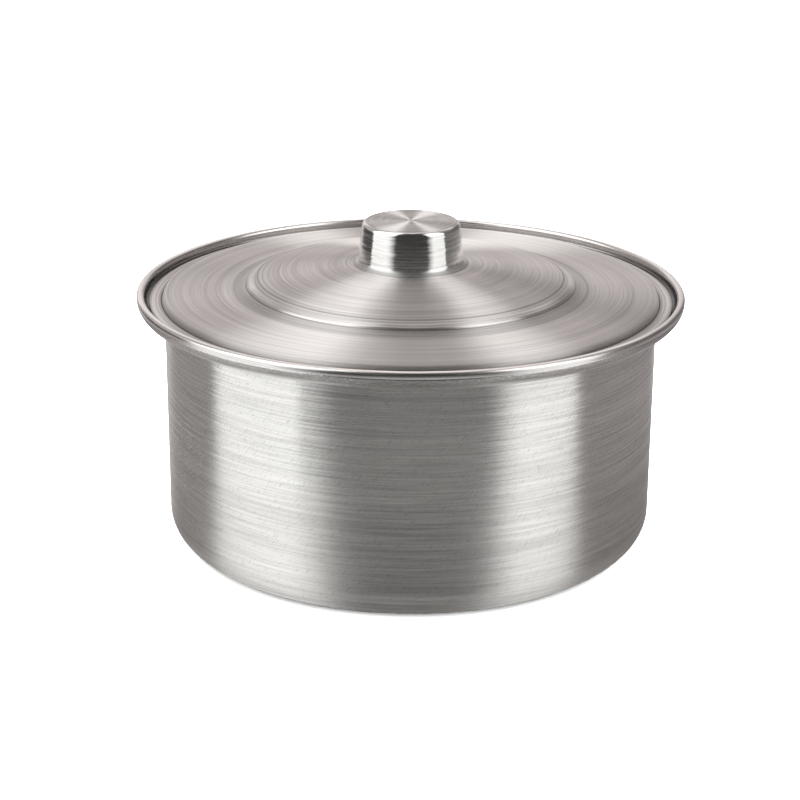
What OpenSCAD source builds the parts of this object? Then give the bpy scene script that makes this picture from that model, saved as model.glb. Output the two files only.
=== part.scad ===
// Spun aluminium cooking pot with a flared, rolled rim and a loose lid that sits inside the flare.
// Millimetres, +Z up, origin at the centre of the base's underside.

/* [Pot] */
// Outside diameter of the straight wall
wall_d = 216; // [160:1:300]
// Height of the seat's upper face, on which the lid rests
seat_h = 107.4; // [70:0.1:200]
// Outside radius between base and wall
corner_r = 13.5; // [6:0.5:20]
// Thickness of the pot's sheet
pot_t = 1; // [0.9:0.05:1.1]

/* [Rim] */
// Distance that the rim stands out from the wall
rim_out = 12; // [11.8:0.1:14]
// Outside radius of the bend between wall and seat
shoulder_r = 3.5; // [2:0.1:3.5]
// Width of the rolled lip
lip_w = 3.4; // [3.3:0.05:3.6]
// Height of the lip's top above the seat
lip_h = 5.4; // [5.2:0.1:8]
// Outside radius of the skirt that curls down from the lip
skirt_r = 6.5; // [6.4:0.05:6.8]
// Angle that the skirt turns back under the seat
skirt_sweep = 78; // [45:1:80]

/* [Lid] */
// Gap between the lid's edge and the inside of the lip
edge_gap = 2.1; // [1.2:0.1:2.5]
// Gap between the flange's underside and the seat
seat_gap = 0.6; // [0.5:0.05:0.8]
// Thickness of the lid's sheet
lid_t = 1; // [0.8:0.05:1.1]
// Width of the flange around the lid's edge
flange_w = 5.7; // [4:0.1:6.5]
// Height of the outer plate's edge above the flange
plate_h = 2.7; // [2.4:0.1:3.5]
// Slope of the outer plate, in degrees
plate_slope = 3; // [2:0.2:6]
// Radius at which the plate turns up into the step
step_foot_r = 77.3; // [72:0.1:84]
// Radius of the hollow curve that rises to the step
step_curve_r = 12.1; // [9:0.1:13]
// Slope of the step at its top, in degrees
step_slope = 43; // [35:0.2:55]
// Width of the sloping band between step and dome
band_w = 3.4; // [2:0.1:5]
// Slope of that band, in degrees
band_slope = 23.2; // [18:0.2:30]
// Radius of the dome's sphere
dome_r = 335; // [250:5:500]

/* [Knob] */
// Diameter of the knob's side at its base
knob_base_d = 46.2; // [44:0.2:48]
// Diameter of the knob's side at its top
knob_top_d = 43; // [40:0.2:44]
// Height of the knob
knob_h = 18.8; // [15:0.1:25]
// Radius of the hollow curve at the knob's foot
foot_curve_r = 2.6; // [1:0.1:2.8]
// Radius of the knob's top edge
knob_edge_r = 2.6; // [0.6:0.1:3]
// Wall thickness of the hollow knob
knob_t = 3; // [2.5:0.1:3.5]

/* [Knob screw] */
// Thread diameter of the screw
screw_d = 5; // [4:1:6]
// Length of the screw under its head
screw_l = 12; // [10:0.5:13]

/* [Hidden] */
$fn = 180;
step_deg = 9;

// Pot and rim
wall_r = wall_d / 2;
rim_r = wall_r + rim_out;
lip_r = lip_w / 2;
lip_z = seat_h + lip_h - lip_r;
skirt_drop = 0.3;
bend_inside_r = 2;
seat_bend_x = rim_r - lip_w - bend_inside_r;

// Lid
lid_r = rim_r - lip_w - edge_gap;
flange_z = seat_h + seat_gap + lid_t;
flange_edge_w = 0.8;
flange_edge_drop = 0.3;
groove_r = lid_r - flange_w;
groove_w = 1.2;
groove_depth = 0.2;
plate_edge_r = 2.6;
plate_edge_c = [groove_r - plate_edge_r, flange_z + plate_h - plate_edge_r];
plate_start = plate_edge_c + plate_edge_r * [sin(plate_slope), cos(plate_slope)];
step_foot = [step_foot_r, plate_start.y + (plate_start.x - step_foot_r) * tan(plate_slope)];
step_c = step_foot + step_curve_r * [sin(plate_slope), cos(plate_slope)];
step_top = step_c - step_curve_r * [sin(step_slope), cos(step_slope)];
dome_edge = step_top + band_w * [-1, tan(band_slope)];
dome_edge_a = acos(dome_edge.x / dome_r);
dome_c = [0, dome_edge.y - dome_r * sin(dome_edge_a)];
crown_r = 27;
crown_a = acos(crown_r / dome_r);
crown_z = dome_c.y + dome_r * sin(crown_a);

// Knob, screw and washer
knob_base_r = knob_base_d / 2;
knob_top_r = knob_top_d / 2;
knob_lean = atan((knob_base_r - knob_top_r) / knob_h);
foot_t = 0.3;
foot_lip = 0.2;
boss_r = 7;
bore_depth = 11;
thread_gap = 0.02;
screw_r = screw_d / 2;
lid_hole_gap = 0.25;
washer_t = 1;
washer_r = screw_d;
washer_gap = 0.15;
head_r = screw_d * 0.95;
head_h = screw_d * 0.64;
head_edge_r = screw_d * 0.3;
tip_chamfer = 0.5;
recess_w = 1;
recess_l = screw_d * 0.9;
recess_depth = screw_d * 0.3;
slack = 1;

// Points on an arc about c, from angle a0 to a1
function arc(c, r, a0, a1) =
    let (n = max(4, ceil(abs(a1 - a0) / step_deg)))
    [for (i = [0:n]) let (a = a0 + (a1 - a0) * i / n) c + r * [cos(a), sin(a)]];

// Left-hand normal of the segment from point i to the next
function left_of(path, i) =
    let (d = path[i + 1] - path[i])
    [-d.y, d.x] / norm(d);

// The path moved t to its left, with mitred corners
function offset_path(path, t) = [
    for (i = [0:len(path) - 1])
        let (before = left_of(path, max(i - 1, 0)))
        let (after = left_of(path, min(i, len(path) - 2)))
        path[i] + t * (before + after) / (1 + before * after)
];

function reversed(list) = [for (i = [len(list) - 1:-1:0]) list[i]];

// A sheet turned about Z: one face follows the path, and the other lies t to its left
module spun_sheet(path, t) {
    rotate_extrude() polygon(concat(path, reversed(offset_path(path, t))));
}

// Pot, rim and skirt in one sheet, drawn along its outside face from the middle of the base
module pot_body() {
    color([0.78, 0.77, 0.76])
        spun_sheet(concat(
            [[0, 0]],
            arc([wall_r - corner_r, corner_r], corner_r, -90, 0),
            arc([wall_r + shoulder_r, seat_h - pot_t - shoulder_r], shoulder_r, 180, 90),
            arc([seat_bend_x, seat_h + bend_inside_r], bend_inside_r + pot_t, -90, 0),
            arc([rim_r - lip_r, lip_z], lip_r - pot_t, 180, 0),
            arc([rim_r - skirt_r, lip_z - skirt_drop], skirt_r - pot_t, 0, -skirt_sweep)
        ), pot_t);
}

// Lid sheet, drawn along its upper face from its edge to the screw hole
module lid() {
    color([0.8, 0.79, 0.78])
        spun_sheet(concat(
            [
                [lid_r, flange_z - flange_edge_drop],
                [lid_r - flange_edge_w, flange_z],
                [groove_r + groove_w, flange_z],
                [groove_r, flange_z - groove_depth]
            ],
            arc(plate_edge_c, plate_edge_r, 0, 90 - plate_slope),
            arc(step_c, step_curve_r, -90 - plate_slope, -90 - step_slope),
            arc(dome_c, dome_r, dome_edge_a, crown_a),
            [[screw_r + lid_hole_gap, crown_z]]
        ), lid_t);
}

// Outside of the knob, standing on z = 0
module knob_solid() {
    rotate_extrude() polygon(concat(
        [[0, 0], [knob_base_r + foot_curve_r + foot_lip, 0], [knob_base_r + foot_curve_r + foot_lip, foot_t]],
        arc([knob_base_r + foot_curve_r, foot_t + foot_curve_r], foot_curve_r, -90, knob_lean - 180),
        arc([knob_top_r - knob_edge_r, knob_h - knob_edge_r], knob_edge_r, knob_lean, 90),
        [[0, knob_h]]
    ));
}

// Hollow between the knob's wall and its central boss, open below
module knob_hollow() {
    rotate_extrude() polygon([
        [boss_r, -slack],
        [knob_base_r - knob_t, -slack],
        [knob_top_r - knob_t, knob_h - knob_t],
        [boss_r, knob_h - knob_t]
    ]);
}

module knob() {
    color([0.85, 0.85, 0.84])
        translate([0, 0, crown_z])
        difference() {
            knob_solid();
            knob_hollow();
            translate([0, 0, -slack]) cylinder(r = screw_r, h = bore_depth + slack);
        }
}

module knob_washer() {
    color([0.6, 0.6, 0.62])
        translate([0, 0, crown_z - lid_t - washer_t])
        difference() {
            cylinder(r = washer_r, h = washer_t);
            translate([0, 0, -slack]) cylinder(r = screw_r + washer_gap, h = washer_t + 2 * slack);
        }
}

// Pan-head screw with a cross recess, pointing up from under the washer
module knob_screw() {
    shank_r = screw_r - thread_gap;
    color([0.6, 0.6, 0.62])
        translate([0, 0, crown_z - lid_t - washer_t])
        difference() {
            rotate_extrude() polygon(concat(
                [[0, -head_h]],
                arc([head_r - head_edge_r, head_edge_r - head_h], head_edge_r, -90, 0),
                [
                    [head_r, 0],
                    [shank_r, 0],
                    [shank_r, screw_l - tip_chamfer],
                    [shank_r - tip_chamfer, screw_l],
                    [0, screw_l]
                ]
            ));
            for (turn = [0, 90])
                rotate(turn)
                    translate([-recess_l / 2, -recess_w / 2, -head_h - slack])
                    cube([recess_l, recess_w, recess_depth + slack]);
        }
}

pot_body();
lid();
knob();
knob_washer();
knob_screw();
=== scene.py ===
"""Looks of the spun aluminium cooking pot: turned meshes and metal finishes around the CAD frame."""
import math

import bpy
import numpy as np
from mathutils import Matrix, Vector


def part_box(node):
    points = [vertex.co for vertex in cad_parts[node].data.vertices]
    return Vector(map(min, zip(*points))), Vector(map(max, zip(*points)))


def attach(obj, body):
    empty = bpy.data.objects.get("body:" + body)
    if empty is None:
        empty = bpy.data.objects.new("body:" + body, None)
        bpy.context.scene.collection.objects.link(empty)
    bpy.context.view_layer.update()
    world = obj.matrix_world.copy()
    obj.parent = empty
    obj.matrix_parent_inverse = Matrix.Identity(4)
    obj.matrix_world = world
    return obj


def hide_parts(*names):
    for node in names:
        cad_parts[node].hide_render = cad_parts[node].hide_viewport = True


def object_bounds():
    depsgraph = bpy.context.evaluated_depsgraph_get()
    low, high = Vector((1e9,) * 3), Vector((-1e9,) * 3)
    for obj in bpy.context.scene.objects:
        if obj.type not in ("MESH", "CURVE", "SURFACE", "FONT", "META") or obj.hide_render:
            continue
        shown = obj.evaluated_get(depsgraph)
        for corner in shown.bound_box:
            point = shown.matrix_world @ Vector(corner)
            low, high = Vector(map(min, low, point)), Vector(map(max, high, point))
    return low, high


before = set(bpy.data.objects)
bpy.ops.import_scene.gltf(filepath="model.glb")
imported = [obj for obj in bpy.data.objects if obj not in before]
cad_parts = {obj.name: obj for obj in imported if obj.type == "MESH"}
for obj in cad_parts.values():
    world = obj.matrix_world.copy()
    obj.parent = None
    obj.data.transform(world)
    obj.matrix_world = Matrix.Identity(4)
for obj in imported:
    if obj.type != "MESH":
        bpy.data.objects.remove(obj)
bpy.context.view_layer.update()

MM = 0.001
SEGMENTS = 256
SEED = 11


# ---------------------------------------------------------------- camera

CAMERA_LENS = 92.176
CAMERA_DISTANCE = 0.90346
CAMERA_ELEVATION = 16.465
CAMERA_YAW = 0.2725
CAMERA_PITCH = -3.0707
CAMERA_ROLL = -0.4451
AIM_BELOW_TOP = 2.3 * MM


def make_camera():
    """Looks down at the middle of the rim, then turns a little off it, as the photo's framing did."""
    low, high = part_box("pot_body")
    aim = Vector((0, 0, high.z - AIM_BELOW_TOP))
    elevation = math.radians(CAMERA_ELEVATION)
    back = Vector((0, -math.cos(elevation), math.sin(elevation)))
    right = Vector((1, 0, 0))
    forward = -back
    up = right.cross(forward)
    for angle, axis_of in ((CAMERA_YAW, 1), (CAMERA_PITCH, 0), (CAMERA_ROLL, 2)):
        axis = (right, up, forward)[axis_of]
        turn = Matrix.Rotation(math.radians(angle), 3, axis)
        right, up, forward = turn @ right, turn @ up, turn @ forward
    data = bpy.data.cameras.new("camera")
    data.lens = CAMERA_LENS
    data.sensor_width = 36
    data.clip_start = 0.01
    data.clip_end = 50
    camera = bpy.data.objects.new("camera", data)
    bpy.context.scene.collection.objects.link(camera)
    rotation = Matrix((right, up, -forward)).transposed()
    camera.matrix_world = Matrix.Translation(aim + back * CAMERA_DISTANCE) @ rotation.to_4x4()
    bpy.context.scene.camera = camera


# ---------------------------------------------------------------- node helpers

def node(tree, kind, inputs=None, **settings):
    """Adds a shader node; an input given as a socket is linked, and any other value is set."""
    made = tree.nodes.new(kind)
    for key, value in settings.items():
        setattr(made, key, value)
    for key, value in (inputs or {}).items():
        if isinstance(value, bpy.types.NodeSocket):
            tree.links.new(value, made.inputs[key])
        else:
            made.inputs[key].default_value = value
    return made


def calc(tree, operation, a, b=0.0, c=0.0):
    return node(tree, "ShaderNodeMath", {0: a, 1: b, 2: c}, operation=operation).outputs[0]


def vector(tree, operation, a, b=(0.0, 0.0, 0.0)):
    return node(tree, "ShaderNodeVectorMath", {0: a, 1: b}, operation=operation).outputs[0]


def scaled(tree, a, factor):
    return node(tree, "ShaderNodeVectorMath", {0: a, "Scale": factor}, operation="SCALE").outputs[0]


def ramp(tree, value, low, high, start=0.0, end=1.0):
    """Maps value from low..high to start..end with soft ends."""
    made = node(
        tree, "ShaderNodeMapRange",
        {"Value": value, "From Min": low, "From Max": high, "To Min": start, "To Max": end},
        interpolation_type="SMOOTHSTEP", clamp=True,
    )
    return made.outputs["Result"]


def mixed(tree, share, first, second):
    made = node(tree, "ShaderNodeMix", {0: share}, data_type="RGBA")
    for index, value in ((6, first), (7, second)):
        if isinstance(value, bpy.types.NodeSocket):
            tree.links.new(value, made.inputs[index])
        else:
            made.inputs[index].default_value = (*value, 1)
    return made.outputs[2]


# ---------------------------------------------------------------- studio

WARM = (1.0, 0.945, 0.925)
NEUTRAL = (1.0, 0.985, 0.96)
WHITE = (0.99, 1.0, 0.985)
STUDIO_BASE = (0.30, WARM)
# Windows of light or shade, each laid over the ones before it: (azimuth from, to), (softness at each end),
# (elevation from, to), (softness at each end), radiance, tint. Angles are in degrees. Azimuth is 0 at the
# camera's side, 90 at the right and 180 behind.
STUDIO = {
    "low_right": ((60, 157), (4, 10), (-91, -9), (0, 6), 0.36, WARM),
    "low_behind": ((157, 213), (10, 4), (-91, 3), (0, 8), 0.60, WARM),
    "behind_right": ((157, 184), (10, 8), (3, 30), (8, 20), 0.72, WARM),
    "behind_left": ((180, 213), (8, 4), (3, 30), (8, 20), 0.95, WARM),
    "high_behind": ((130, 230), (30, 30), (26, 88), (20, 4), 1.10, WARM),
    "left_of_behind": ((213, 258), (4, 4), (6, 60), (8, 30), 0.50, WARM),
    "ceiling": ((-110, 110), (30, 30), (52, 91), (30, 0), 0.56, WARM),
    "low_left": ((213, 264), (4, 4), (-91, -13), (0, 6), 0.42, WARM),
    "dark_right": ((84, 150), (4, 20), (-9, 30), (6, 20), 0.16, WARM),
    "low_front": ((-60, 60), (20, 20), (-91, -21.5), (0, 8), 0.56, NEUTRAL),
    "dark_front": ((-60, 60), (20, 20), (-21.5, 80), (8, 14), 0.05, NEUTRAL),
    "left_softbox": ((258, 316), (2, 24), (-70, 6), (10, 16), 1.20, WHITE),
    "left_softbox_top": ((259, 320), (2, 14), (6, 76), (16, 12), 2.0, WHITE),
    "left_softbox_corner": ((309, 345), (6, 8), (-22.5, -12), (3, 5), 0.05, NEUTRAL),
    "dark_left": ((222, 264), (10, 3), (-12, 5), (5, 8), 0.05, NEUTRAL),
    "right_softbox": ((45, 82), (20, 2), (-70, 6), (10, 16), 1.14, WHITE),
    "right_softbox_top": ((42, 83), (12, 2), (6, 60), (16, 12), 2.0, WHITE),
    "under_base": ((-180, 180), (0, 0), (-91, -70), (0, 8), 0.02, NEUTRAL),
}
BACKGROUND = (1.0, 1.0, 1.0)
# Radiance of the even light that only matt surfaces see
FLOOR_LIGHT = 6.0
# Metres from the middle of the floor to its sides
FLOOR_HALF = 12


def between(tree, value, ends, softness):
    """1 where value lies between ends, falling to 0 over the softness at each end."""
    low, high = ends
    share = 1.0
    if softness[0]:
        share = ramp(tree, value, low - softness[0] / 2, low + softness[0] / 2)
    if softness[1]:
        fall = ramp(tree, value, high - softness[1] / 2, high + softness[1] / 2, 1, 0)
        share = calc(tree, "MULTIPLY", share, fall)
    return share


def make_studio():
    """Two soft boxes and grey walls for reflections, and an even light for the floor."""
    world = bpy.data.worlds.new("studio")
    bpy.context.scene.world = world
    world.use_nodes = True
    tree = world.node_tree
    tree.nodes.clear()
    direction = node(tree, "ShaderNodeTexCoord").outputs["Generated"]
    axis = node(tree, "ShaderNodeSeparateXYZ", {0: direction}).outputs
    towards_camera = calc(tree, "MULTIPLY", axis["Y"], -1)
    turned = calc(tree, "DEGREES", calc(tree, "ARCTAN2", axis["X"], towards_camera))
    elevation = calc(tree, "DEGREES", calc(tree, "ARCSINE", axis["Z"]))
    level, tint = STUDIO_BASE
    colour = node(tree, "ShaderNodeRGB").outputs[0]
    colour.default_value = (*[level * c for c in tint], 1)
    for (az0, az1), az_soft, elevations, el_soft, level, tint in STUDIO.values():
        middle = (az0 + az1) / 2
        around = calc(tree, "FLOORED_MODULO", calc(tree, "ADD", turned, 180 - middle), 360)
        width = az1 - az0
        across = between(tree, around, (180 - width / 2, 180 + width / 2), az_soft)
        upright = between(tree, elevation, elevations, el_soft)
        colour = mixed(tree, calc(tree, "MULTIPLY", across, upright), colour, [level * c for c in tint])
    rays = node(tree, "ShaderNodeLightPath").outputs
    colour = mixed(tree, rays["Is Diffuse Ray"], colour, [FLOOR_LIGHT] * 3)
    colour = mixed(tree, rays["Is Camera Ray"], colour, BACKGROUND)
    shader = node(tree, "ShaderNodeBackground", {"Color": colour}).outputs[0]
    node(tree, "ShaderNodeOutputWorld", {"Surface": shader})


def make_floor():
    """A plain pale floor, level with the pot's base."""
    low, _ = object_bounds()
    mesh = bpy.data.meshes.new("floor")
    corners = [(x * FLOOR_HALF, y * FLOOR_HALF, low.z) for x, y in ((-1, -1), (1, -1), (1, 1), (-1, 1))]
    mesh.from_pydata(corners, [], [(0, 1, 2, 3)])
    floor = bpy.data.objects.new("floor", mesh)
    bpy.context.scene.collection.objects.link(floor)
    material = bpy.data.materials.new("floor_paint")
    material.use_nodes = True
    shader = material.node_tree.nodes["Principled BSDF"]
    shader.inputs["Base Color"].default_value = (0.97, 0.97, 0.965, 1)
    shader.inputs["Roughness"].default_value = 0.7
    shader.inputs["Specular IOR Level"].default_value = 0.0
    mesh.materials.append(material)
    floor.visible_glossy = False


# ---------------------------------------------------------------- section outlines, in millimetres

def arc(centre, radius, start, end, step=6.0):
    """Points of an arc in the (r, z) plane, angles in degrees."""
    count = max(2, math.ceil(abs(end - start) / step))
    angles = [math.radians(start + (end - start) * i / count) for i in range(count + 1)]
    return [(centre[0] + radius * math.cos(a), centre[1] + radius * math.sin(a)) for a in angles]


def without_repeats(points):
    kept = [points[0]]
    for p in points[1:]:
        if math.dist(p, kept[-1]) > 1e-6:
            kept.append(p)
    return kept


def finer(points, step):
    """The same line with no stretch longer than step."""
    out = [points[0]]
    for a, b in zip(points, points[1:]):
        count = max(1, math.ceil(math.dist(a, b) / step))
        for i in range(1, count + 1):
            out.append((a[0] + (b[0] - a[0]) * i / count, a[1] + (b[1] - a[1]) * i / count))
    return out


def normals(points):
    """Unit normals to the left of the line, which is the side that the metal lies on."""
    p = np.array(points)
    d = np.gradient(p, axis=0)
    d /= np.linalg.norm(d, axis=1)[:, None]
    return np.stack([-d[:, 1], d[:, 0]], 1)


def offset(points, distance):
    moved = np.array(points) + normals(points) * distance
    return [tuple(p) for p in moved]


def turned_marks(points, depth, pitch, seed):
    """Shallow irregular rings, as a spinning tool leaves, cut up to depth into the metal."""
    rng = np.random.default_rng(seed)
    p = np.array(points)
    length = np.concatenate([[0], np.cumsum(np.linalg.norm(np.diff(p, axis=0), axis=1))])
    knots = np.arange(-pitch, length[-1] + 2 * pitch, pitch)
    knots = knots + rng.uniform(-0.3, 0.3, len(knots)) * pitch
    cuts = rng.uniform(0, 1, len(knots)) * depth
    cut = np.interp(length, knots, cuts)
    fade = np.clip(np.minimum(length, length[-1] - length) / (2 * pitch), 0, 1)
    return [tuple(q) for q in p + normals(points) * (cut * fade)[:, None]]


# ---------------------------------------------------------------- lathe

def lathe(name, section, materials, kinds=None, closed=False, segments=SEGMENTS):
    """Turns an outline of (r, z) points in millimetres about Z into a smooth mesh. kinds gives the number
    of the material for the stretch after each point. Attribute "along" is the distance along the outline."""
    kinds = kinds or [0] * len(section)
    section = [(max(r, 0.0), z) for r, z in section]
    verts, rings, along = [], [], []
    length = 0.0
    for i, (r, z) in enumerate(section):
        if i:
            length += math.dist(section[i - 1], (r, z)) * MM
        if r < 1e-6:
            rings.append([len(verts)] * segments)
            verts.append((0, 0, z * MM))
            along.append(length)
            continue
        rings.append(list(range(len(verts), len(verts) + segments)))
        for k in range(segments):
            a = 2 * math.pi * k / segments
            verts.append((r * MM * math.cos(a), r * MM * math.sin(a), z * MM))
            along.append(length)
    ends = list(range(1, len(section))) + ([0] if closed else [])
    faces, face_kinds = [], []
    for start, end in zip(range(len(section)), ends):
        for k in range(segments):
            n = (k + 1) % segments
            corners = (rings[start][k], rings[start][n], rings[end][n], rings[end][k])
            corners = tuple(c for j, c in enumerate(corners) if c != corners[j - 1])
            if len(corners) > 2:
                faces.append(corners)
                face_kinds.append(kinds[start])
    mesh = bpy.data.meshes.new(name)
    mesh.from_pydata(verts, [], faces)
    for material in materials:
        mesh.materials.append(material)
    mesh.polygons.foreach_set("material_index", face_kinds)
    mesh.polygons.foreach_set("use_smooth", [True] * len(faces))
    mesh.attributes.new("along", "FLOAT", "POINT").data.foreach_set("value", along)
    mesh.update()
    piece = bpy.data.objects.new(name, mesh)
    bpy.context.scene.collection.objects.link(piece)
    return piece


# ---------------------------------------------------------------- metals

class Metal:
    """A turned metal. Layers add tone, roughness, relief or a sideways lean, and done() joins them."""

    def __init__(self, name, colour, roughness, anisotropy):
        self.material = bpy.data.materials.new(name)
        self.material.use_nodes = True
        self.tree = self.material.node_tree
        self.shader = self.tree.nodes["Principled BSDF"]
        self.shader.inputs["Metallic"].default_value = 1.0
        self.shader.inputs["Anisotropic"].default_value = anisotropy
        self.shader.inputs["Anisotropic Rotation"].default_value = 0.25
        self.colour = colour
        self.place = node(self.tree, "ShaderNodeTexCoord").outputs["Object"]
        self.axis = node(self.tree, "ShaderNodeSeparateXYZ", {0: self.place}).outputs
        level = {"X": self.axis["X"], "Y": self.axis["Y"]}
        outward = vector(self.tree, "NORMALIZE", node(self.tree, "ShaderNodeCombineXYZ", level).outputs[0])
        self.side = node(self.tree, "ShaderNodeSeparateXYZ", {0: outward}).outputs
        self.radius = self.calc("SQRT", self.calc(
            "ADD", self.calc("POWER", self.axis["X"], 2.0), self.calc("POWER", self.axis["Y"], 2.0)))
        self.along = node(self.tree, "ShaderNodeAttribute", attribute_name="along").outputs["Fac"]
        self.tangent = node(self.tree, "ShaderNodeTangent", direction_type="RADIAL", axis="Z").outputs[0]
        self.tree.links.new(self.tangent, self.shader.inputs["Tangent"])
        self.brightness = 1.0
        self.roughness = roughness
        self.height = 0.0
        self.sideways = 0.0

    def calc(self, *values):
        return calc(self.tree, *values)

    def ramp(self, *values):
        return ramp(self.tree, *values)

    def rings(self, pitch, breaks, detail=2.0, shift=0.0):
        """Noise in rings round the axis, pitch millimetres apart; breaks is how often a ring changes, and
        each shift gives other rings."""
        where = node(self.tree, "ShaderNodeCombineXYZ", {
            "X": self.calc("MULTIPLY", self.side["X"], breaks),
            "Y": self.calc("MULTIPLY", self.side["Y"], breaks),
            "Z": self.calc("ADD", self.calc("DIVIDE", self.along, pitch * MM), shift),
        }).outputs[0]
        return self.noise(where, 1.0, detail)

    def noise(self, where, scale, detail=2.0):
        return node(self.tree, "ShaderNodeTexNoise", {
            "Vector": where, "Scale": scale, "Detail": detail, "Roughness": 0.55,
        }).outputs["Fac"]

    def specks(self, size, stretch):
        """Even mottling, size millimetres across, stretched this many times round the axis."""
        where = node(self.tree, "ShaderNodeCombineXYZ", {
            "X": self.calc("MULTIPLY", self.turn_length(), 1 / stretch),
            "Y": self.along,
            "Z": 0.0,
        }).outputs[0]
        return self.noise(where, 1 / (size * MM))

    def turn_length(self):
        """Distance round the axis from the back, in metres."""
        return self.calc("MULTIPLY", self.calc("ARCTAN2", self.axis["X"], self.axis["Y"]), self.radius)

    def scratches(self, angle, width, length, rarity):
        """Thin straight scratches at this angle to the horizontal, in millimetres; rarer towards 1."""
        turned, up = self.turn_length(), self.axis["Z"]
        cos, sin = math.cos(math.radians(angle)), math.sin(math.radians(angle))
        lengthways = self.calc("MULTIPLY_ADD", turned, cos, self.calc("MULTIPLY", up, sin))
        sideways = self.calc("MULTIPLY_ADD", turned, -sin, self.calc("MULTIPLY", up, cos))
        where = node(self.tree, "ShaderNodeCombineXYZ", {
            "X": self.calc("DIVIDE", lengthways, length * MM),
            "Y": self.calc("DIVIDE", sideways, width * MM),
            "Z": angle,
        }).outputs[0]
        return self.ramp(self.noise(where, 1.0, 1.0), rarity, rarity + 0.05)

    def patch(self, azimuth, spread, height, reach):
        """1 in the middle of a patch of wall, falling to 0 at spread degrees and reach metres away.
        Azimuth is 0 at the front and 90 at the right."""
        turned = self.calc("ARCTAN2", self.axis["X"], self.calc("MULTIPLY", self.axis["Y"], -1.0))
        across = self.calc(
            "DIVIDE", self.calc("SUBTRACT", turned, math.radians(azimuth)), math.radians(spread))
        upright = self.calc("DIVIDE", self.calc("SUBTRACT", self.axis["Z"], height), reach)
        away = self.calc("SQRT", self.calc(
            "ADD", self.calc("POWER", across, 2.0), self.calc("POWER", upright, 2.0)))
        return self.ramp(away, 0.4, 1.0, 1.0, 0.0)

    def near(self, radius, width):
        """1 at this radius, falling to 0 half the width away on either side, in millimetres."""
        away = self.calc("ABSOLUTE", self.calc("SUBTRACT", self.radius, radius * MM))
        return self.ramp(away, width * 0.2 * MM, width * 0.5 * MM, 1.0, 0.0)

    def shade(self, amount):
        """Multiplies the colour by amount."""
        self.brightness = self.calc("MULTIPLY", self.brightness, amount)

    def roughen(self, amount):
        self.roughness = self.calc("ADD", self.roughness, amount)

    def emboss(self, noise, depth):
        """Raises the surface by depth millimetres where noise is 1."""
        self.height = self.calc("ADD", self.height, self.calc("MULTIPLY", noise, depth))

    def lean(self, noise, amount):
        """Tips the surface sideways round the axis, by up to amount either way."""
        self.sideways = self.calc("ADD", self.sideways, self.calc("MULTIPLY", self.calc(
            "SUBTRACT", noise, 0.5), 2 * amount))

    def done(self):
        tree = self.tree
        tree.links.new(scaled(tree, self.colour, self.brightness), self.shader.inputs["Base Color"])
        tree.links.new(self.roughness, self.shader.inputs["Roughness"])
        bump = node(tree, "ShaderNodeBump", {"Height": self.height, "Distance": MM, "Strength": 1.0})
        tipped = vector(tree, "ADD", bump.outputs[0], scaled(tree, self.tangent, self.sideways))
        tree.links.new(vector(tree, "NORMALIZE", tipped), self.shader.inputs["Normal"])
        return self.material


ALUMINIUM = (0.815, 0.80, 0.785)
ROSY_ALUMINIUM = (0.825, 0.795, 0.785)
BRIGHT_ALUMINIUM = (0.86, 0.85, 0.84)
# The knob top's colour, set darker than the side's as painted shade so that its reflections come out dimmer
DULL_SHADED_ALUMINIUM = (0.74, 0.72, 0.71)
STEEL = (0.62, 0.61, 0.60)

# Rings on the lid: radius and width in millimetres, then how much rougher, darker with painted shade, or
# higher it is there
LID_ROUGHER = ((70.6, 4.0, -0.20), (112.0, 5.6, -0.14))
# Painted shade: rings in the grooves at the crest and the plate's edge, over the concave step and the
# flange, and at the lid's edge beside the gap
LID_PAINTED_SHADE = (
    (67.2, 0.9, 0.42), (65.2, 0.6, 0.24), (72.3, 0.9, 0.38), (75.5, 9.0, 0.20), (106.2, 0.7, 0.20),
    (109.1, 0.9, 0.82), (110.6, 6.0, 0.10), (111.5, 0.7, 0.34), (115.1, 2.2, 0.92),
)
LID_HIGHER = (
    (69.6, 6.0, 0.80), (67.2, 1.0, -0.05), (65.2, 0.8, -0.04), (72.3, 1.0, -0.04), (112.0, 5.6, 0.50),
)
# Painted shade in the seat behind the lip: full up to the first height above the seat, and gone at the
# second
SEAT_PAINTED_SHADE = ((0.6, 1.7, 0.90), (0.5, 4.0, 0.18))


def brushed(metal, pitch, breaks, tone, rough, depth, lean):
    """Brush lines pitch millimetres apart, fine and long, each with its own shine. tone is how much the
    dark ones lose, rough how far the roughness strays and depth their relief in millimetres."""
    fine = metal.rings(pitch, breaks)
    long = metal.rings(pitch * 2.1, breaks * 0.35, 1.0, 31.0)
    broad = metal.rings(pitch * 9, breaks * 0.2, 1.0, 57.0)
    both = metal.calc("ADD", metal.calc("MULTIPLY", fine, 0.6), metal.calc("MULTIPLY", long, 0.4))
    metal.shade(metal.ramp(both, 0.38, 0.6, 1 - tone, 1.0))
    metal.shade(metal.ramp(broad, 0.3, 0.7, 1 - tone * 0.4, 1.0))
    shine = metal.rings(pitch * 1.3, breaks * 0.6, 1.0, 83.0)
    metal.roughen(metal.ramp(shine, 0.3, 0.7, -rough, rough))
    metal.emboss(both, depth)
    metal.lean(metal.rings(pitch * 1.5, breaks * 0.5, 1.0, 113.0), lean)


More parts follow.
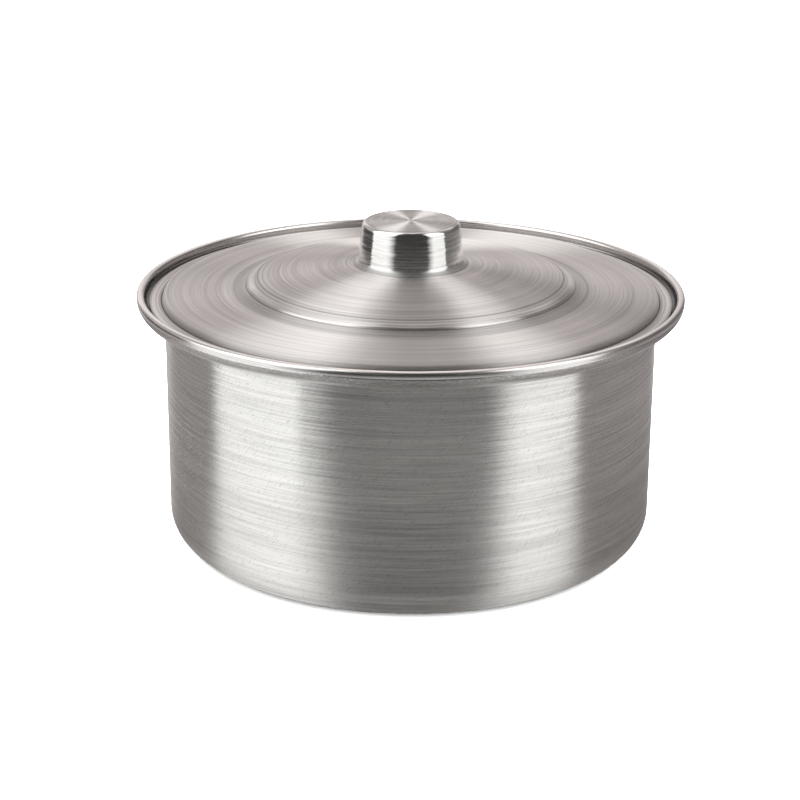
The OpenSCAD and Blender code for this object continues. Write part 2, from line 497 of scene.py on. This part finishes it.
def wall_metal(wall_top):
    """Brushed wall, duller towards the base and darkened at its foot with painted shade, with a worn patch
    at the left.
    """
    metal = Metal("brushed_wall", ALUMINIUM, roughness=0.235, anisotropy=0.97)
    brushed(metal, pitch=0.45, breaks=4.0, tone=0.18, rough=0.06, depth=0.008, lean=0.030)
    metal.roughen(metal.ramp(metal.axis["Z"], wall_top * 0.1, wall_top * 0.85, 0.19, 0.0))
    # Painted shade: the colour darkens over the last few millimetres above the base, standing in for the
    # contact shadow there
    metal.shade(metal.ramp(metal.axis["Z"], 1.2 * MM, 3.4 * MM, 0.15, 1.0))
    patch = metal.patch(azimuth=-66, spread=18, height=wall_top * 0.47, reach=26 * MM)
    worn = metal.calc("MULTIPLY", metal.scratches(angle=-28, width=0.5, length=8, rarity=0.55), patch)
    metal.shade(metal.calc("MULTIPLY_ADD", worn, 0.22, 1.0))
    stray = metal.scratches(angle=-50, width=0.45, length=4, rarity=0.62)
    metal.shade(metal.calc("MULTIPLY_ADD", stray, -0.22, 1.0))
    return metal.done()


def rim_metal(rim, seat):
    """Burnished lip over a rougher, mottled skirt, with painted shade in the seat behind the lip."""
    metal = Metal("rolled_rim", ROSY_ALUMINIUM, roughness=0.24, anisotropy=0.5)
    brushed(metal, pitch=0.5, breaks=8.0, tone=0.14, rough=0.05, depth=0.008, lean=0.05)
    mottle = metal.specks(size=0.9, stretch=1.6)
    below = metal.ramp(metal.axis["Z"], (seat + 1.9) * MM, (seat + 2.6) * MM, 1.0, 0.0)
    outside = metal.ramp(metal.radius, (rim - 2) * MM, (rim - 1) * MM)
    skirt = metal.calc("MULTIPLY", below, outside)
    metal.emboss(metal.calc("MULTIPLY", mottle, skirt), 0.5)
    # The mottle on the skirt, and 1 elsewhere
    blotches = metal.calc("MULTIPLY_ADD", metal.calc("SUBTRACT", mottle, 1.0), skirt, 1.0)
    metal.shade(metal.ramp(blotches, 0.38, 0.62, 0.80, 1.0))
    metal.roughen(metal.calc("MULTIPLY", skirt, 0.22))
    metal.shade(metal.calc("MULTIPLY_ADD", skirt, -0.20, 1.0))
    inside = metal.ramp(metal.radius, (rim - LIP_W * 0.75) * MM, (rim - LIP_W * 0.5) * MM, 1.0, 0.0)
    # Painted shade darkens the seat and the foot of the lip's inner face, in the gap between lid and lip
    for low, high, dark in SEAT_PAINTED_SHADE:
        seat_shade = metal.ramp(metal.axis["Z"], (seat + low) * MM, (seat + high) * MM, -dark, 0.0)
        metal.shade(metal.calc("MULTIPLY_ADD", seat_shade, inside, 1.0))
    return metal.done()


def inside_metal():
    metal = Metal("spun_inside", ALUMINIUM, roughness=0.36, anisotropy=0.9)
    brushed(metal, pitch=0.8, breaks=3.0, tone=0.08, rough=0.05, depth=0.015, lean=0.06)
    return metal.done()


def lid_metal():
    """Fine turned grooves, with a burnished crest and flange between thin rings of painted shade."""
    metal = Metal("spun_lid", ROSY_ALUMINIUM, roughness=0.50, anisotropy=1.0)
    brushed(metal, pitch=0.50, breaks=1.2, tone=0.16, rough=0.04, depth=0.012, lean=0.016)
    coarse = metal.rings(2.6, 0.6, 1.0, 7.0)
    metal.shade(metal.ramp(coarse, 0.34, 0.5, 0.96, 1.0))
    for radius, width, change in LID_ROUGHER:
        metal.roughen(metal.calc("MULTIPLY", metal.near(radius, width), change))
    # Painted shade laid in rings round the lid
    for radius, width, amount in LID_PAINTED_SHADE:
        metal.shade(metal.calc("MULTIPLY_ADD", metal.near(radius, width), -amount, 1.0))
    for radius, width, height in LID_HIGHER:
        metal.emboss(metal.near(radius, width), height)
    return metal.done()


def knob_metal(base):
    """Bright turned side that grows as dull as the lid down its fillet, darkened there with painted shade.
    base is in millimetres.
    """
    metal = Metal("turned_knob", BRIGHT_ALUMINIUM, roughness=0.14, anisotropy=0.95)
    brushed(metal, pitch=0.42, breaks=2.5, tone=0.10, rough=0.04, depth=0.008, lean=0.055)
    metal.roughen(metal.ramp(metal.axis["Z"], (base + 0.4) * MM, (base + 3.2) * MM, 0.40, 0.0))
    # Painted shade: the colour darkens down the fillet towards the joint with the lid
    metal.shade(metal.ramp(metal.axis["Z"], (base + 0.2) * MM, (base + 2.6) * MM, 0.72, 1.0))
    return metal.done()


def top_metal():
    metal = Metal("turned_top", DULL_SHADED_ALUMINIUM, roughness=0.48, anisotropy=1.0)
    brushed(metal, pitch=0.5, breaks=2.5, tone=0.06, rough=0.05, depth=0.008, lean=0.04)
    return metal.done()


def steel():
    metal = Metal("plain_steel", STEEL, roughness=0.34, anisotropy=0.0)
    tarnish = metal.noise(metal.place, 600.0)
    metal.shade(metal.ramp(tarnish, 0.35, 0.7, 0.82, 1.0))
    metal.roughen(metal.ramp(tarnish, 0.3, 0.7, 0.05, -0.05))
    metal.emboss(tarnish, 0.004)
    return metal.done()


# ---------------------------------------------------------------- pot

POT_SHEET = 1.0
RIM_OUT = 12.0
CORNER_R = 13.5
SHOULDER_R = 3.5
LIP_W = 3.4
LIP_H = 5.4
BEND_R = 2.0
SKIRT_R = 6.5
SKIRT_DROP = 0.3
SKIRT_SWEEP = 78
# Longest stretch of the outline, and depth and pitch of the tool marks on it
POT_STRETCH = 1.2
POT_MARKS = (0.02, 3.0)
# Numbers of the pot's materials
WALL, RIM, INSIDE = range(3)


def pot_outside(rim, top):
    """The under and outer face of the pot's sheet, from the middle of the base to the skirt's tip."""
    t = POT_SHEET
    wall = rim - RIM_OUT
    seat = top - LIP_H
    lip_r = LIP_W / 2
    lip_z = top - lip_r
    foot = arc((wall - CORNER_R, CORNER_R), CORNER_R, -90, 0)
    shoulder = arc((wall + SHOULDER_R, seat - t - SHOULDER_R), SHOULDER_R, 180, 90)
    bend = arc((rim - LIP_W - BEND_R, seat + BEND_R), BEND_R + t, -90, 0)
    roll = arc((rim - lip_r, lip_z), lip_r - t, 180, 0, 12)
    skirt = arc((rim - SKIRT_R, lip_z - SKIRT_DROP), SKIRT_R - t, 0, -SKIRT_SWEEP)
    return without_repeats([(0, 0)] + foot + shoulder + bend + roll + skirt)


def widest(node_name):
    """Radius of a round node in millimetres, kept inside its box on every side."""
    low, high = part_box(node_name)
    return min(-low.x, -low.y, high.x, high.y) / MM


def make_pot():
    _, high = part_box("pot_body")
    rim, top = widest("pot_body"), high.z / MM
    seat = top - LIP_H
    outside = finer(pot_outside(rim, top), POT_STRETCH)
    under = turned_marks(outside, *POT_MARKS, SEED)
    inside = offset(outside, POT_SHEET)
    section = under + inside[::-1]
    # Both ends close on the axis
    section[0] = (0, section[0][1])
    section[-1] = (0, section[-1][1])

    turn = seat - POT_SHEET - 0.1
    kinds = [RIM if z > turn else WALL for r, z in under]
    kinds += [RIM if z > turn else INSIDE for r, z in inside[::-1]]
    metals = [wall_metal(seat * MM), rim_metal(rim, seat), inside_metal()]
    pot = lathe("pot_shell", section, metals, kinds)
    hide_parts("pot_body")
    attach(pot, "pot")


# ---------------------------------------------------------------- lid

LID_SHEET = 1.0
FLANGE_W = 5.7
PLATE_H = 2.7
PLATE_SLOPE = 3.0
PLATE_EDGE_R = 2.6
STEP_FOOT_R = 77.3
STEP_CURVE_R = 12.1
STEP_SLOPE = 43.0
BAND_W = 3.4
BAND_SLOPE = 23.2
DOME_R = 335.0
CROWN_R = 27.0
LID_HOLE_R = 2.75
FLANGE_EDGE_W = 0.8
FLANGE_EDGE_DROP = 0.3
GROOVE_W = 1.2
GROOVE_DEPTH = 0.2
LID_STRETCH = 1.0
LID_MARKS = (0.03, 2.2)


def lid_top(rim, flange_z):
    """The lid's upper face, from its edge to the screw hole."""
    groove = rim - FLANGE_W
    slope, step, band = (math.radians(a) for a in (PLATE_SLOPE, STEP_SLOPE, BAND_SLOPE))
    edge_c = (groove - PLATE_EDGE_R, flange_z + PLATE_H - PLATE_EDGE_R)
    start = (edge_c[0] + PLATE_EDGE_R * math.sin(slope), edge_c[1] + PLATE_EDGE_R * math.cos(slope))
    foot_z = start[1] + (start[0] - STEP_FOOT_R) * math.tan(slope)
    curve_c = (STEP_FOOT_R + STEP_CURVE_R * math.sin(slope), foot_z + STEP_CURVE_R * math.cos(slope))
    crest = (curve_c[0] - STEP_CURVE_R * math.sin(step), curve_c[1] - STEP_CURVE_R * math.cos(step))
    dome_edge = (crest[0] - BAND_W, crest[1] + BAND_W * math.tan(band))
    edge_a = math.degrees(math.acos(dome_edge[0] / DOME_R))
    crown_a = math.degrees(math.acos(CROWN_R / DOME_R))
    dome_c = (0, dome_edge[1] - DOME_R * math.sin(math.radians(edge_a)))
    points = [(rim, flange_z - FLANGE_EDGE_DROP), (rim - FLANGE_EDGE_W, flange_z)]
    points += [(groove + GROOVE_W, flange_z), (groove, flange_z - GROOVE_DEPTH)]
    points += arc(edge_c, PLATE_EDGE_R, 0, 90 - PLATE_SLOPE)
    points += arc(curve_c, STEP_CURVE_R, -90 - PLATE_SLOPE, -90 - STEP_SLOPE, 2)
    points += arc(dome_c, DOME_R, edge_a, crown_a, 1)
    crown_z = dome_c[1] + DOME_R * math.sin(math.radians(crown_a))
    return without_repeats(points + [(LID_HOLE_R, crown_z)])


def make_lid():
    _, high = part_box("lid")
    top = lid_top(widest("lid"), 0)
    lift = high.z / MM - top[-1][1]
    top = finer([(r, z + lift) for r, z in top], LID_STRETCH)
    upper = turned_marks(top, *LID_MARKS, SEED + 1)
    lower = offset(top, LID_SHEET)
    lid = lathe("lid_shell", upper + lower[::-1], [lid_metal()], closed=True)
    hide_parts("lid")
    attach(lid, "lid_and_knob")


# ---------------------------------------------------------------- knob

KNOB_BASE_R = 23.1
KNOB_TOP_R = 21.5
FOOT_CURVE_R = 2.6
FOOT_T = 0.3
FOOT_LIP = 0.2
KNOB_EDGE_R = 2.6
KNOB_WALL = 3.0
BOSS_R = 7.0
BORE_R = 2.5
BORE_DEPTH = 11.0
# Where the foot's curve starts, a little past level, and how far inside the foot's widest point its edge
# touches the lid
FOOT_TURN = -102
FOOT_TUCK = 0.4
# The top's material covers what is this close to the top and this far inside its edge
TOP_DEPTH = 0.4
TOP_MARGIN = 1.0
KNOB_STRETCH = 0.3
KNOB_MARKS = (0.03, 0.7)
KNOB_SEGMENTS = 192
# Numbers of the knob's materials
SIDE, TOP = range(2)


def make_knob():
    low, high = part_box("knob")
    height = (high.z - low.z) / MM
    lean = math.degrees(math.atan((KNOB_BASE_R - KNOB_TOP_R) / height))
    foot_r = min(KNOB_BASE_R + FOOT_CURVE_R + FOOT_LIP, widest("knob"))
    outer = [(foot_r - FOOT_TUCK, 0)]
    outer += arc((KNOB_BASE_R + FOOT_CURVE_R, FOOT_T + FOOT_CURVE_R), FOOT_CURVE_R, FOOT_TURN, lean - 180)
    outer += arc((KNOB_TOP_R - KNOB_EDGE_R, height - KNOB_EDGE_R), KNOB_EDGE_R, lean, 90)
    outer += [(0, height)]
    outer = turned_marks(finer(without_repeats(outer), KNOB_STRETCH), *KNOB_MARKS, SEED + 2)
    outer[-1] = (0, outer[-1][1])
    ceiling = height - KNOB_WALL
    inner = [(0, BORE_DEPTH), (BORE_R, BORE_DEPTH), (BORE_R, 0), (BOSS_R, 0), (BOSS_R, ceiling)]
    inner += [(KNOB_TOP_R - KNOB_WALL, ceiling), (KNOB_BASE_R - KNOB_WALL, 0)]
    base = low.z / MM
    section = [(r, z + base) for r, z in inner + outer]
    top_z, top_r = base + height - TOP_DEPTH, KNOB_TOP_R - TOP_MARGIN
    kinds = [TOP if z > top_z and r < top_r else SIDE for r, z in section]
    knob = lathe("knob_turned", section, [knob_metal(base), top_metal()], kinds, segments=KNOB_SEGMENTS)
    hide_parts("knob")
    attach(knob, "lid_and_knob")


def make_fasteners():
    material = steel()
    for name in ("knob_washer", "knob_screw"):
        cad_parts[name].data.materials.clear()
        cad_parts[name].data.materials.append(material)


bpy.context.scene.view_settings.view_transform = "Standard"
make_camera()
make_studio()
make_floor()
make_pot()
make_lid()
make_knob()
make_fasteners()
